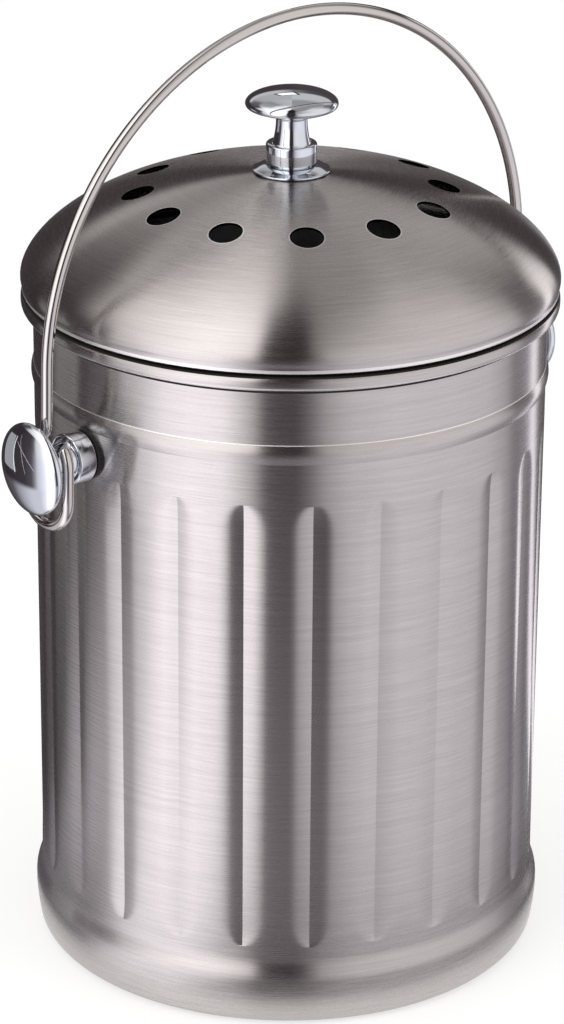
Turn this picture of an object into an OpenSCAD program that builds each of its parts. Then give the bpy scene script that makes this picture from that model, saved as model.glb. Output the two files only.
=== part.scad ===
// Kitchen compost pail: fluted steel pail, pierced domed lift-off lid with a
// knob and a filter cassette, and a wire bail that swings on two side knobs.
// Millimetres, +Z up, origin at the centre of the base, bail pivots on the X axis.

/* [Pail] */
// Outer radius of the straight wall
wall_r = 86; // [80:0.5:95]
// Height of the rolled rim above the table
pail_h = 232.4; // [215:0.5:260]
// Thickness of the steel sheet of pail and lid
sheet = 0.7; // [0.5:0.05:1]
// How far the foot band stands out past the wall
foot_out = 2.15; // [1:0.05:3]
// Height of the foot band where it meets the wall
foot_h = 25; // [20:0.5:32]
// Radius of the bottom corner
foot_corner = 5; // [4:0.5:7]
// Width of the foot ring and corner outside the flat floor panel
foot_ring = 14.2; // [13.4:0.1:24]
// Height that the floor panel is raised
floor_rise = 2; // [1:0.5:4]
// Width and height of the rolled rim
rim_roll = 4.7; // [4:0.1:5.4]
// Squareness of the rolled rim: 1 is round, and lower is squarer
rim_square = 0.6; // [0.5:0.05:1]

/* [Neck bead] */
// Distance from the rim down to the lower edge of the bead
bead_drop = 30.8; // [24:0.1:30.9]
// Height of the bead from edge to edge
bead_h = 6.8; // [5:0.1:9]
// How far the bead stands out
bead_out = 0.9; // [0.5:0.1:1.6]

/* [Flutes] */
// Number of flutes round the wall
flute_n = 24; // [16:1:28]
// Width of a flute at the wall
flute_w = 12; // [8:0.5:14]
// Depth of a flute at its crease
flute_d = 1.1; // [0.8:0.1:2]
// Height of the lower end of the flutes
flute_z0 = 29; // [27:0.5:45]
// Distance from the rim down to the upper end of the flutes
flute_drop = 45.4; // [45:0.1:70]
// Length over which a flute runs out at each end
flute_fade = 7; // [5:0.5:16]
// Angle of the first flute from the pivot axis
flute_turn = 10.7; // [0:0.1:15]

/* [Lid] */
// How far the lid reaches past the rolled rim
lid_over = 0; // [-0.3:0.1:3]
// Height of the dome above the widest ring of the lid
dome_h = 34.8; // [25:0.5:45]
// Height of the widest ring above the underside of the lid
lid_edge = 4.95; // [4:0.05:7]
// Fullness of the dome's crown
dome_p = 2.1; // [1.9:0.05:2.4]
// Fullness of the dome's shoulder
dome_q = 1.65; // [1.5:0.05:2]
// Depth of the hem's crease below the widest ring
hem_step = 0.4; // [0.2:0.1:0.8]
// Number of air vents
vent_n = 12; // [8:1:16]
// Diameter of an air vent
vent_dia = 11; // [8:0.5:13]
// Radius of the ring of air vents
vent_ring_r = 50.85; // [42:0.5:60]
// Angle of the first air vent from the pivot axis
vent_turn = 26.2; // [0:0.1:30]

/* [Knobs] */
// Height of a knob from its seat to its crown
knob_h = 25.3; // [24.5:0.1:30]
// Radius of the knob's head
knob_r = 15.4; // [13:0.1:17]
// Height of the crown of the knob's head above its widest ring
crown_h = 4.8; // [3.5:0.1:6]
// Radius of the rounded rim of the knob's head
rim_round = 1.5; // [0.8:0.1:2]
// Radius of the knob's collar
collar_r = 8.5; // [8.4:0.1:10]
// Height of the top of the knob's collar
collar_h = 7.2; // [6:0.1:8]
// Radius of the knob's waist
waist_r = 5.2; // [4.5:0.1:5.4]
// Radius of the dished rosette under the lid's knob
rosette_r = 13; // [11:0.5:16]
// Height of the rosette
rosette_h = 2.3; // [1.5:0.1:3]
// Distance from the rim down to the bail's pivot axis
pivot_drop = 39.6; // [39.5:0.1:41]
// Radius of the black spacer behind a side knob
spacer_r = 8.3; // [7:0.1:8.5]
// Thickness of the black spacer at its thinnest
spacer_t = 0.8; // [0.6:0.1:2]

/* [Screws] */
// Diameter of the screws
screw_dia = 4; // [3:0.5:5]
// Length of thread inside a knob
screw_grip = 8; // [6:0.5:9]
// Radius of a screw's pan head
pan_r = 3.8; // [3.2:0.1:4.4]
// Height of a screw's pan head
pan_h = 2.4; // [1.8:0.1:3]
// Radius of the plain washers
washer_r = 6; // [5:0.1:6]
// Thickness of the plain washers
washer_t = 0.9; // [0.6:0.1:1.2]

/* [Bail] */
// Diameter of the bail's wire
wire_dia = 4; // [3:0.1:4.4]
// Distance of the wire's centre line from the seat of a side knob
eye_out = 14.6; // [12:0.1:14.6]
// Gap between the lid's knob and the underside of the bail when upright
bail_gap = 24.5; // [21:0.25:60]
// Lean of the standing bail from upright, towards -Y
bail_lean = 1.8; // [0:0.1:3]
// Half the width of the eye round a knob's waist
eye_r = 11.5; // [10:0.1:13]
// Depth of the centre of the eye's bottom bend below the pivot
eye_drop = 9; // [5:0.1:14]
// Radius of the bends that lead into the eye
eye_bend = 10; // [8:0.1:11]
// Angle of the slanted part of the wire above the waist
eye_slant = 45; // [40:1:50]
// Height of the straight part of the eye's free side above its bottom bend
eye_tail = 11; // [6:0.5:12]
// Angle through which the wire's free end bends in
eye_tail_turn = 40; // [20:1:50]

/* [Filter] */
// Depth that the black cassette plugs into the mouth
plug_depth = 10; // [8:0.5:14]
// Wall thickness of the cassette
cassette_wall = 2.4; // [2:0.1:3]
// Thickness of the charcoal filter pad
pad_t = 9; // [6:0.5:10]
// Thickness of the grille that holds the pad
grille_t = 2.2; // [1.8:0.1:3]
// Diameter of the holes in the grille
grille_hole = 7; // [5:0.5:8]
// Number of rings of holes in the grille
grille_rings = 5; // [4:1:6]
// Number of bayonet tabs
tab_n = 3; // [3:1:4]
// Angle that a bayonet tab spans
tab_span = 24; // [18:1:28]
// Depth of a bayonet tab
tab_in = 3; // [2:0.1:4]
// Thickness of a bayonet tab
tab_t = 1.2; // [1:0.1:2]
// Thickness of the cassette's lip on the lid's hem
lip_t = 1.4; // [1:0.1:2]
// Angle that the grille turns from locked to free
grille_twist = 45; // [36:1:60]
// Depth of the finger bar under the grille
bar_h = 6; // [4:0.5:8]
// Length of the finger bar
bar_l = 44; // [30:1:60]

/* [Clearances] */
// Gap between the lid's underside and the rolled rim
lid_gap = 0.6; // [0.3:0.05:0.8]
// Gap round parts that slide or turn
run_gap = 0.4; // [0.3:0.05:0.6]
// Gap between a soft or loose piece and its seat
seat_gap = 0.3; // [0.2:0.05:0.5]
// Extra radius of a screw's clearance hole
hole_gap = 0.2; // [0.1:0.05:0.4]
// Extra radius of a threaded hole over the screw
thread_gap = 0.05; // [0.02:0.01:0.1]

/* [Hidden] */
$fn = 96;

steel = [0.72, 0.71, 0.71];
chrome = [0.86, 0.87, 0.88];
black = [0.08, 0.08, 0.09];
charcoal = [0.16, 0.16, 0.17];
pivot_z = pail_h - pivot_drop;
bead_z = pail_h - bead_drop;
flute_z1 = pail_h - flute_drop;
inner_r = wall_r - sheet;
mid_r = wall_r - sheet / 2;
roll_r = (rim_roll - sheet) / 2;
roll_z = pail_h - rim_roll / 2;
lid_r = mid_r + roll_r + rim_roll / 2 + lid_over;
roll_end = -110;
lid_z = pail_h + lid_gap;
wide_z = lid_z + lid_edge;
crown_z = wide_z + dome_h;
flange_in = inner_r - run_gap / 2;
hole_r = screw_dia / 2 + hole_gap;
spacer_x = wall_r + spacer_t;
knob_seat_z = crown_z + rosette_h;
bail_r = spacer_x + eye_out;
bail_leg = knob_seat_z + knob_h + bail_gap + wire_dia / 2 - bail_r - pivot_z;
flute_slope = atan2(flute_d, flute_w / 2);
fade_slope = atan2(flute_d, flute_fade);
plug_r = inner_r - run_gap;
cassette_in = plug_r - cassette_wall;
cassette_z = lid_z - plug_depth;
grille_z = cassette_z + tab_t + seat_gap;
grille_r = cassette_in - run_gap;
pad_z = grille_z + grille_t + seat_gap;
wire_r = wire_dia / 2;
wire_sides = 18;
slant_run = (eye_r - 2 * eye_bend * (1 - cos(eye_slant))) / sin(eye_slant);
slant_drop = 2 * eye_bend * sin(eye_slant) + slant_run * cos(eye_slant);
// The slanted wire passes just above the waist of the knob.
slant_clear = waist_r + wire_r + 2 * run_gap;
jog_z = (slant_clear - eye_bend * (1 - cos(eye_slant)) * cos(eye_slant)) / sin(eye_slant)
        + eye_bend * sin(eye_slant);

// Points along an arc about [r, z], from angle a to angle b.
function arc(c, rad, a, b, n = 10) =
    [for (i = [0:n]) c + rad * [cos(a + (b - a) * i / n), sin(a + (b - a) * i / n)]];

// The same arc pushed out towards the corners of its square; e = 1 leaves it round.
function square_arc(c, rad, a, b, e, n) =
    [for (i = [0:n]) let (t = a + (b - a) * i / n)
        c + rad * [sign(cos(t)) * pow(abs(cos(t)), e), sign(sin(t)) * pow(abs(sin(t)), e)]];

// Unit normal on the left of the path at point i.
function left_of(p, i) =
    let (d = p[min(i + 1, len(p) - 1)] - p[max(i - 1, 0)]) [-d[1], d[0]] / norm(d);

// Closed outline of a sheet of thickness t whose outer side is the path p.
function sheet_of(p, t) =
    let (m = len(p) - 1)
    concat(p, [for (i = [m:-1:0]) i == m && p[i][0] == 0 ? p[i] - [0, t]
               : i == 0 && p[i][0] == 0 ? p[i] + [0, t] : p[i] + t * left_of(p, i)]);

// Height of the dome's outer face at radius r.
function dome_z(r) = wide_z + dome_h * pow(max(0, 1 - pow(r / lid_r, dome_p)), 1 / dome_q);

// Outer path of the pail from the centre of the floor to the end of the rim's roll:
// floor panel, foot ring, corner, foot band, wall, bead, neck and roll.
foot_r = wall_r + foot_out;
floor_r = foot_r - foot_ring;
floor_round = 1;
corner_lean = 1;
band_z = foot_corner + 11.5;
pail_path = concat(
    [[0, floor_rise], [floor_r - 2, floor_rise]],
    arc([floor_r, floor_rise - floor_round], floor_round, 90, 0, 4),
    [[floor_r + 1.4, 0.3], [floor_r + 2.2, 0], [foot_r - foot_corner - 2.6, 0]],
    arc([foot_r - foot_corner - corner_lean, foot_corner], foot_corner, -90, -12, 8),
    [[foot_r - 0.35, foot_corner + 4], [foot_r, band_z - 3], [foot_r, band_z]],
    [for (i = [1:8]) [wall_r + foot_out * (1 + cos(180 * i / 8)) / 2,
                      band_z + (foot_h - band_z) * i / 8]],
    [[wall_r, bead_z]],
    [for (i = [1:9]) [wall_r + bead_out * sin(180 * i / 10), bead_z + bead_h * i / 10]],
    [[wall_r, bead_z + bead_h], [wall_r, roll_z]],
    square_arc([mid_r + roll_r, roll_z], roll_r - sheet / 2, 180, roll_end, rim_square, 28));

// The pail's sheet, without flutes and holes.
module pail_sheet() {
    rotate_extrude()
        polygon(sheet_of(pail_path, sheet));
}

// One straight flute with sloping ends, as a solid; back is how far it lies inward of the wall.
module flute_solid(back, top_x) {
    rise = top_x - (wall_r - flute_d - back);
    half = rise / tan(flute_slope);
    fade = rise / tan(fade_slope);
    crease_x = top_x - rise;
    low = flute_z0 + flute_fade;
    high = flute_z1 - flute_fade;
    intersection() {
        translate([0, 0, low - fade - 1])
            linear_extrude(high - low + 2 * fade + 2)
                polygon([[crease_x, 0], [top_x, -half], [top_x, half]]);
        translate([0, half + 1, 0])
            rotate([90, 0, 0])
                linear_extrude(2 * half + 2)
                    polygon([[crease_x, low], [top_x, low - fade],
                             [top_x, high + fade], [crease_x, high]]);
    }
}

module flutes(back, top_x) {
    for (i = [0:flute_n - 1])
        rotate([0, 0, flute_turn + 360 / flute_n * i])
            flute_solid(back, top_x);
}

module pail_body() {
    color(steel)
        difference() {
            union() {
                pail_sheet();
                flutes(sheet / cos(flute_slope), inner_r + 0.2);
            }
            flutes(0, wall_r + 1.5);
            translate([-wall_r - 1, 0, pivot_z])
                rotate([0, 90, 0])
                    cylinder(r = hole_r, h = 2 * wall_r + 2);
        }
}

// Turns a piece drawn upward from its seat to lie along the pivot axis, seat at x.
module on_side(side, x) {
    translate([side * x, 0, pivot_z])
        rotate([0, side * 90, 0])
            children();
}

module spacer(side) {
    color(black)
        difference() {
            on_side(side, spacer_x)
                mirror([0, 0, 1])
                    difference() {
                        cylinder(r = spacer_r, h = spacer_t + 0.6);
                        translate([0, 0, -1])
                            cylinder(r = hole_r, h = spacer_t + 3);
                    }
            translate([0, 0, pivot_z - spacer_r - 1])
                cylinder(r = wall_r, h = 2 * spacer_r + 2, $fn = 720);
        }
}

// Outline of a turned mushroom knob that stands on its seat at z = 0: a groove, the
// collar, the flared waist, the hollow underside of the head, its rim and its crown.
groove_in = 1.6;
groove_h = 0.7;
collar_round = 0.9;
flare = 1.1;
neck_round = 1.4;
head_h = 9;
rim_z = knob_h - crown_h;
under_z = knob_h - head_h;
rim_low = arc([knob_r - rim_round, rim_z], rim_round, -65, 0, 6);
neck_top = arc([waist_r + neck_round, under_z - 1], neck_round, 180, 110, 4);
neck_end = neck_top[len(neck_top) - 1];
knob_path = concat(
    [[0, 0], [collar_r - groove_in, 0], [collar_r - groove_in, groove_h]],
    [[collar_r - 0.4, groove_h], [collar_r, groove_h + 0.4]],
    arc([collar_r - collar_round, collar_h - collar_round], collar_round, 0, 80, 5),
    [for (i = [0:8]) [waist_r + flare * pow(1 - i / 8, 2),
                      collar_h + (under_z - 1 - collar_h) * i / 8]],
    neck_top,
    [for (i = [1:6]) neck_end + [(rim_low[0][0] - neck_end[0]) * i / 6,
                                 (rim_low[0][1] - neck_end[1]) * pow(i / 6, 1.3)]],
    rim_low,
    [for (i = [1:12]) [knob_r * cos(90 * i / 12), rim_z + crown_h * sin(90 * i / 12)]]);

module knob() {
    difference() {
        rotate_extrude()
            polygon(knob_path);
        translate([0, 0, -1])
            cylinder(r = screw_dia / 2 + thread_gap, h = screw_grip + 2);
    }
}

module side_knob(side) {
    color(chrome)
        on_side(side, spacer_x)
            knob();
}

// A pan-head screw with a cross slot: the shank runs up from its head's seat at z = 0.
slot_w = 0.9;
slot_depth = 1.2;

module pan_screw(shank) {
    dome_r = (pan_r * pan_r + pan_h * pan_h) / (2 * pan_h);
    slot_l = 1.1 * pan_r;
    difference() {
        union() {
            cylinder(r = screw_dia / 2, h = shank);
            intersection() {
                translate([0, 0, dome_r - pan_h])
                    sphere(r = dome_r);
                translate([0, 0, -pan_h])
                    cylinder(r = pan_r, h = pan_h);
            }
        }
        for (turn = [0, 90])
            rotate([0, 0, turn])
                translate([-slot_l / 2, -slot_w / 2, -pan_h - 1])
                    cube([slot_l, slot_w, slot_depth + 1]);
    }
}

module plain_washer() {
    difference() {
        cylinder(r = washer_r, h = washer_t);
        translate([0, 0, -1])
            cylinder(r = hole_r, h = washer_t + 2);
    }
}

// The washer's corners touch the round inside of the wall.
washer_x = sqrt(inner_r * inner_r - washer_r * washer_r) - washer_t;

module inner_washer(side) {
    color(steel)
        on_side(side, washer_x)
            plain_washer();
}

module side_screw(side) {
    color(steel)
        on_side(side, washer_x)
            pan_screw(spacer_x - washer_x + screw_grip);
}

// Stations [y, z, along y, along z] on a bend about [y, z], from angle a to angle b.
function bend(y, z, rad, a, b, n) =
    let (way = b > a ? 1 : -1)
    [for (i = [0:n]) let (t = a + (b - a) * i / n)
        [y + rad * cos(t), z + rad * sin(t), -way * sin(t), way * cos(t)]];

// The eye at the lower end of a leg, from the wire's free end up to the leg. The
// wire goes down one side of the waist, round below it and up to pass just above it.
eye_path = concat(
    bend(eye_bend - eye_r, eye_tail - eye_drop, eye_bend, 180 - eye_tail_turn, 180, 4),
    bend(0, -eye_drop, eye_r, 180, 360, 16),
    bend(eye_r - eye_bend, jog_z - slant_drop, eye_bend, 0, eye_slant, 4),
    bend(eye_bend, jog_z, eye_bend, 180 + eye_slant, 180, 4));
arch_path = bend(0, bail_leg, bail_r, 180, 0, 48);

// One ring of points of the wire about p, from two directions square to it.
function wire_ring(p, u, v) =
    [for (k = [0:wire_sides - 1]) let (t = 360 * k / wire_sides)
        p + wire_r * (cos(t) * u + sin(t) * v)];

module bail_handle() {
    eye_last = len(eye_path) - 1;
    rings = concat(
        [for (s = eye_path) wire_ring([-bail_r, s[0], s[1]], [1, 0, 0], [0, s[3], -s[2]])],
        [for (s = arch_path) wire_ring([s[0], 0, s[1]], [s[3], 0, -s[2]], [0, 1, 0])],
        [for (i = [eye_last:-1:0]) let (s = eye_path[i])
            wire_ring([bail_r, s[0], s[1]], [-1, 0, 0], [0, s[3], -s[2]])]);
    last = (len(rings) - 1) * wire_sides;
    points = [for (ring = rings) for (q = ring) q];
    sides = [for (i = [0:len(rings) - 2]) for (k = [0:wire_sides - 1])
        let (a = i * wire_sides + k, b = i * wire_sides + (k + 1) % wire_sides)
        each [[a, a + wire_sides, b + wire_sides], [a, b + wire_sides, b]]];
    color(chrome)
        translate([0, 0, pivot_z])
            rotate([bail_lean, 0, 0])
                polyhedron(points, concat(sides,
                    [[for (k = [0:wire_sides - 1]) k]],
                    [[for (k = [wire_sides - 1:-1:0]) last + k]]));
}

// Outer path of the lid from the inner edge of its turned-in hem to the crown.
hem_r = lid_r - hem_step;
hem_round = 1.2;
lid_path = concat(
    [[flange_in, lid_z]],
    arc([hem_r - hem_round, lid_z + hem_round], hem_round, -90, 0, 6),
    [[hem_r, wide_z - 2.2], [lid_r, wide_z - 1.4], [lid_r, wide_z]],
    [for (i = [1:40]) let (r = lid_r * cos(90 * i / 40)) [r, dome_z(r)]]);

module lid_shell() {
    color(steel)
        difference() {
            rotate_extrude()
                polygon(sheet_of(lid_path, sheet));
            for (i = [0:vent_n - 1])
                rotate([0, 0, vent_turn + 360 / vent_n * i])
                    translate([vent_ring_r, 0, wide_z])
                        cylinder(r = vent_dia / 2, h = dome_h + 1);
            translate([0, 0, wide_z])
                cylinder(r = hole_r, h = dome_h + 1);
        }
}

rosette_edge = 0.35;
rosette_step = 0.4;

module lid_rosette() {
    color(chrome)
        translate([0, 0, crown_z])
            difference() {
                rotate_extrude()
                    polygon(concat(
                        [[hole_r, 0], [rosette_r - rosette_edge, 0]],
                        arc([rosette_r - rosette_edge, rosette_edge], rosette_edge, -90, 90, 6),
                        [for (i = [1:6]) [rosette_r - rosette_step - (rosette_r - collar_r) * i / 6,
                                          2 * rosette_edge
                                          + (rosette_h - 2 * rosette_edge) * sin(90 * i / 6)]],
                        [[hole_r, rosette_h]]));
            }
}

module lid_knob() {
    color(chrome)
        translate([0, 0, knob_seat_z])
            knob();
}

// Underside of the crown at the edge of the washer under the knob.
lid_washer_z = dome_z(washer_r) - sheet - washer_t;

module lid_screw_washer() {
    color(steel)
        translate([0, 0, lid_washer_z])
            plain_washer();
}

module lid_screw() {
    color(steel)
        translate([0, 0, lid_washer_z])
            pan_screw(knob_seat_z - lid_washer_z + screw_grip);
}

// The black cassette: a plug ring with a lip that rests on the lid's turned-in hem.
module filter_cassette() {
    lip_z = lid_z + sheet;
    lip_r = plug_r + 2.6;
    nose = 1.2;
    color(black)
        union() {
            rotate_extrude()
                polygon([[cassette_in, cassette_z], [plug_r - nose, cassette_z],
                         [plug_r, cassette_z + nose], [plug_r, lip_z],
                         [lip_r, lip_z], [lip_r, lip_z + lip_t],
                         [cassette_in, lip_z + lip_t]]);
            for (i = [0:tab_n - 1])
                rotate([0, 0, 360 / tab_n * i - tab_span / 2])
                    rotate_extrude(angle = tab_span)
                        translate([cassette_in - tab_in, cassette_z])
                            square([tab_in + 0.6, tab_t]);
        }
}

module filter_pad() {
    color(charcoal)
        translate([0, 0, pad_z])
            cylinder(r = grille_r - run_gap, h = pad_t);
}

// The round grille that carries the pad: notches in its edge pass the bayonet tabs.
grille_rim = 4;
bar_w = 4;
tab_play = 2;

module filter_grille() {
    rings_r = grille_r - tab_in - grille_rim;
    pitch = rings_r / (grille_rings + 0.5);
    color(black)
        difference() {
            union() {
                translate([0, 0, grille_z])
                    cylinder(r = grille_r, h = grille_t);
                translate([-bar_l / 2, -bar_w / 2, grille_z - bar_h])
                    cube([bar_l, bar_w, bar_h + 1]);
            }
            for (i = [0:tab_n - 1])
                rotate([0, 0, 360 / tab_n * i - grille_twist - tab_span / 2 - tab_play])
                    rotate_extrude(angle = tab_span + 2 * tab_play)
                        translate([cassette_in - tab_in - run_gap, grille_z - 1])
                            square([tab_in + 4, grille_t + 2]);
            for (ring = [2:grille_rings])
                let (r = pitch * (ring + 0.2), n = 6 * ring)
                    for (i = [0:n - 1])
                        rotate([0, 0, 360 / n * (i + 0.5)])
                            translate([r, 0, grille_z - 1])
                                cylinder(r = grille_hole / 2, h = grille_t + 2, $fn = 24);
        }
}

pail_body();
spacer(-1);  // spacer_left
spacer(1);  // spacer_right
side_knob(-1);  // side_knob_left
side_knob(1);  // side_knob_right
side_screw(-1);  // side_screw_left
side_screw(1);  // side_screw_right
inner_washer(-1);  // inner_washer_left
inner_washer(1);  // inner_washer_right
bail_handle();
lid_shell();
lid_rosette();
lid_knob();
lid_screw();
lid_screw_washer();
filter_cassette();
filter_pad();
filter_grille();
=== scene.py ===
import math

import bmesh
import bpy
from mathutils import Matrix, Vector


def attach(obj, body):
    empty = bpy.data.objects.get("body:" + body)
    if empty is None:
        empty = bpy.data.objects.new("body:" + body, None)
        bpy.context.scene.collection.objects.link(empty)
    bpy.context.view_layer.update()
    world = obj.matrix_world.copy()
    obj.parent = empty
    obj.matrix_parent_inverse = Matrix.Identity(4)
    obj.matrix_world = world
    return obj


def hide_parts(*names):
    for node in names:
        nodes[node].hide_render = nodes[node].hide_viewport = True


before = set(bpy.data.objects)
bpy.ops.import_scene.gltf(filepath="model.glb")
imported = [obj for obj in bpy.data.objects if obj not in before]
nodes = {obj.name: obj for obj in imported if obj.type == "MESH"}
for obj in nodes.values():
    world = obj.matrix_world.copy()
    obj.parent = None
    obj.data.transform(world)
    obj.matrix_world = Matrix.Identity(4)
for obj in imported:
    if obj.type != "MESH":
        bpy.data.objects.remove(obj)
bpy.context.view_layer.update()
mm = 0.001
print("frame loaded:", len(nodes), "nodes")


# Colours are sRGB hex values, and Blender works in linear ones.
def hexToLinear(hexText):
    parts = [int(hexText[i:i + 2], 16) / 255 for i in (0, 2, 4)]
    return [p / 12.92 if p <= 0.04045 else ((p + 0.055) / 1.055) ** 2.4 for p in parts] + [1.0]


# Adds a node, sets its properties and plugs values or (node, output) pairs into its inputs.
def addNode(tree, kind, inputs=None, **settings):
    node = tree.nodes.new(kind)
    for name, value in settings.items():
        setattr(node, name, value)
    for key, value in (inputs or {}).items():
        if isinstance(value, tuple) and isinstance(value[0], bpy.types.Node):
            tree.links.new(value[0].outputs[value[1]], node.inputs[key])
        else:
            node.inputs[key].default_value = value
    return node


def newMaterial(name):
    material = bpy.data.materials.new(name)
    material.use_nodes = True
    material.node_tree.nodes.clear()
    return material, material.node_tree


def rampStops(node, stops):
    ramp = node.color_ramp
    while len(ramp.elements) < len(stops):
        ramp.elements.new(0.5)
    for element, (place, value) in zip(ramp.elements, stops):
        element.position = place
        element.color = (value, value, value, 1)


# Stainless steel sheet, brushed round the turning axis: fine hairlines run round the
# body, so highlights stretch up and down while their sides stay crisp.
brushedSteel = {
    "colour": "C9C4C2",
    "roughness": 0.26,
    "anisotropic": 1.0,
    "hairWidth": 0.22,      # mm, coarser than the real 0.05 mm grit so that it shows
    "hairLength": 14.0,     # mm along the hairline
    "hairDepth": 0.002,     # mm
    "smearWidth": 1.3,      # mm, broader streaks left by the belt
    "bodyR": 86,            # mm, the radius at which a hairline has that length
    "hairTint": (0.84, 1.12),
    "hairRough": (-0.03, 0.04),
    "hairBump": 0.35,
    "smearTint": (0.95, 1.04),
}


def makeBrushedSteel(name, acrossDome):
    material, tree = newMaterial(name)
    s = brushedSteel
    place = addNode(tree, "ShaderNodeTexCoord")
    axes = addNode(tree, "ShaderNodeSeparateXYZ", {0: (place, "Object")})
    flat = addNode(tree, "ShaderNodeCombineXYZ", {0: (axes, 0), 1: (axes, 1)})
    reach = addNode(tree, "ShaderNodeVectorMath", {0: (flat, 0)}, operation="LENGTH")
    outward = addNode(tree, "ShaderNodeVectorMath", {0: (flat, 0)}, operation="NORMALIZE")
    # Across the hairlines: height on the wall, height less radius over the dome.
    across = addNode(tree, "ShaderNodeMath",
                     {0: (axes, 2), 1: (reach, "Value") if acrossDome else 0.0},
                     operation="SUBTRACT")
    along = addNode(tree, "ShaderNodeVectorMath",
                    {0: (outward, 0), "Scale": s["bodyR"] / s["hairLength"]}, operation="SCALE")
    hairs = addNode(tree, "ShaderNodeMath", {0: (across, 0), 1: 1 / (s["hairWidth"] * mm)},
                    operation="MULTIPLY")
    lift = addNode(tree, "ShaderNodeCombineXYZ", {2: (hairs, 0)})
    hairPlace = addNode(tree, "ShaderNodeVectorMath", {0: (along, 0), 1: (lift, 0)},
                        operation="ADD")
    hair = addNode(tree, "ShaderNodeTexNoise",
                   {"Vector": (hairPlace, 0), "Scale": 1.0, "Detail": 3.0, "Roughness": 0.65})
    smears = addNode(tree, "ShaderNodeMath", {0: (across, 0), 1: 1 / (s["smearWidth"] * mm)},
                     operation="MULTIPLY")
    smearLift = addNode(tree, "ShaderNodeCombineXYZ", {2: (smears, 0)})
    smearPlace = addNode(tree, "ShaderNodeVectorMath", {0: (outward, 0), 1: (smearLift, 0)},
                         operation="ADD")
    smear = addNode(tree, "ShaderNodeTexNoise",
                    {"Vector": (smearPlace, 0), "Scale": 1.3, "Detail": 2.0})
    rough = addNode(tree, "ShaderNodeMapRange",
                    {"Value": (hair, 0), "From Min": 0.3, "From Max": 0.7,
                     "To Min": s["roughness"] + s["hairRough"][0],
                     "To Max": s["roughness"] + s["hairRough"][1]})
    tint = addNode(tree, "ShaderNodeMapRange",
                   {"Value": (hair, 0), "From Min": 0.25, "From Max": 0.75,
                    "To Min": s["hairTint"][0], "To Max": s["hairTint"][1]})
    cloud = addNode(tree, "ShaderNodeMapRange",
                    {"Value": (smear, 0), "From Min": 0.3, "From Max": 0.7,
                     "To Min": s["smearTint"][0], "To Max": s["smearTint"][1]})
    shade = addNode(tree, "ShaderNodeMath", {0: (tint, 0), 1: (cloud, 0)}, operation="MULTIPLY")
    colour = addNode(tree, "ShaderNodeVectorMath",
                     {0: hexToLinear(s["colour"])[:3], "Scale": (shade, 0)}, operation="SCALE")
    bump = addNode(tree, "ShaderNodeBump",
                   {"Height": (hair, 0), "Strength": s["hairBump"],
                    "Distance": s["hairDepth"] * mm})
    # The direction round the axis; the shader turns it a quarter to lie across the hairlines.
    spin = addNode(tree, "ShaderNodeVectorMath", {0: (0, 0, 1), 1: (outward, 0)},
                   operation="CROSS_PRODUCT")
    shader = addNode(tree, "ShaderNodeBsdfPrincipled",
                     {"Base Color": (colour, 0), "Metallic": 1.0, "Roughness": (rough, 0),
                      "Anisotropic": s["anisotropic"], "Anisotropic Rotation": 0.25,
                      "Normal": (bump, 0), "Tangent": (spin, 0)})
    addNode(tree, "ShaderNodeOutputMaterial", {"Surface": (shader, 0)})
    return material


# Painted highlight: edges given a paler metal than the sheet so that they show a bright line; rough
# enough to gather light from all round.
def makePaintedHighlightEdge(name):
    material, tree = newMaterial(name)
    shader = addNode(tree, "ShaderNodeBsdfPrincipled",
                     {"Base Color": hexToLinear("F7F5F2"), "Metallic": 1.0, "Roughness": 0.42})
    addNode(tree, "ShaderNodeOutputMaterial", {"Surface": (shader, 0)})
    return material


# Painted shade: a dark, dull material where two folded edges lie together and no light reaches.
def makePaintedSeamShade(name):
    material, tree = newMaterial(name)
    shader = addNode(tree, "ShaderNodeBsdfPrincipled",
                     {"Base Color": hexToLinear("211D1C"), "Metallic": 0.0, "Roughness": 0.7,
                      "Specular IOR Level": 0.2})
    addNode(tree, "ShaderNodeOutputMaterial", {"Surface": (shader, 0)})
    return material


# Bright chrome plate on turned brass: a true mirror, with the faintest polishing haze.
def makeChromePlate(name):
    material, tree = newMaterial(name)
    place = addNode(tree, "ShaderNodeTexCoord")
    haze = addNode(tree, "ShaderNodeTexNoise",
                   {"Vector": (place, "Object"), "Scale": 220.0, "Detail": 2.0})
    rough = addNode(tree, "ShaderNodeMapRange",
                    {"Value": (haze, 0), "From Min": 0.35, "From Max": 0.7,
                     "To Min": 0.02, "To Max": 0.06})
    bump = addNode(tree, "ShaderNodeBump",
                   {"Height": (haze, 0), "Strength": 0.04, "Distance": 0.02 * mm})
    shader = addNode(tree, "ShaderNodeBsdfPrincipled",
                     {"Base Color": hexToLinear("DEE3EA"), "Metallic": 1.0,
                      "Roughness": (rough, 0), "Normal": (bump, 0)})
    addNode(tree, "ShaderNodeOutputMaterial", {"Surface": (shader, 0)})
    return material


# Drawn stainless wire, polished: a mirror softened by faint die lines along the wire.
def makePolishedWire(name):
    material, tree = newMaterial(name)
    place = addNode(tree, "ShaderNodeTexCoord")
    grain = addNode(tree, "ShaderNodeTexNoise",
                    {"Vector": (place, "Object"), "Scale": 500.0, "Detail": 3.0})
    rough = addNode(tree, "ShaderNodeMapRange",
                    {"Value": (grain, 0), "From Min": 0.3, "From Max": 0.7,
                     "To Min": 0.05, "To Max": 0.09})
    bump = addNode(tree, "ShaderNodeBump",
                   {"Height": (grain, 0), "Strength": 0.06, "Distance": 0.02 * mm})
    shader = addNode(tree, "ShaderNodeBsdfPrincipled",
                     {"Base Color": hexToLinear("CFCBC8"), "Metallic": 1.0,
                      "Roughness": (rough, 0), "Normal": (bump, 0)})
    addNode(tree, "ShaderNodeOutputMaterial", {"Surface": (shader, 0)})
    return material


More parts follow.
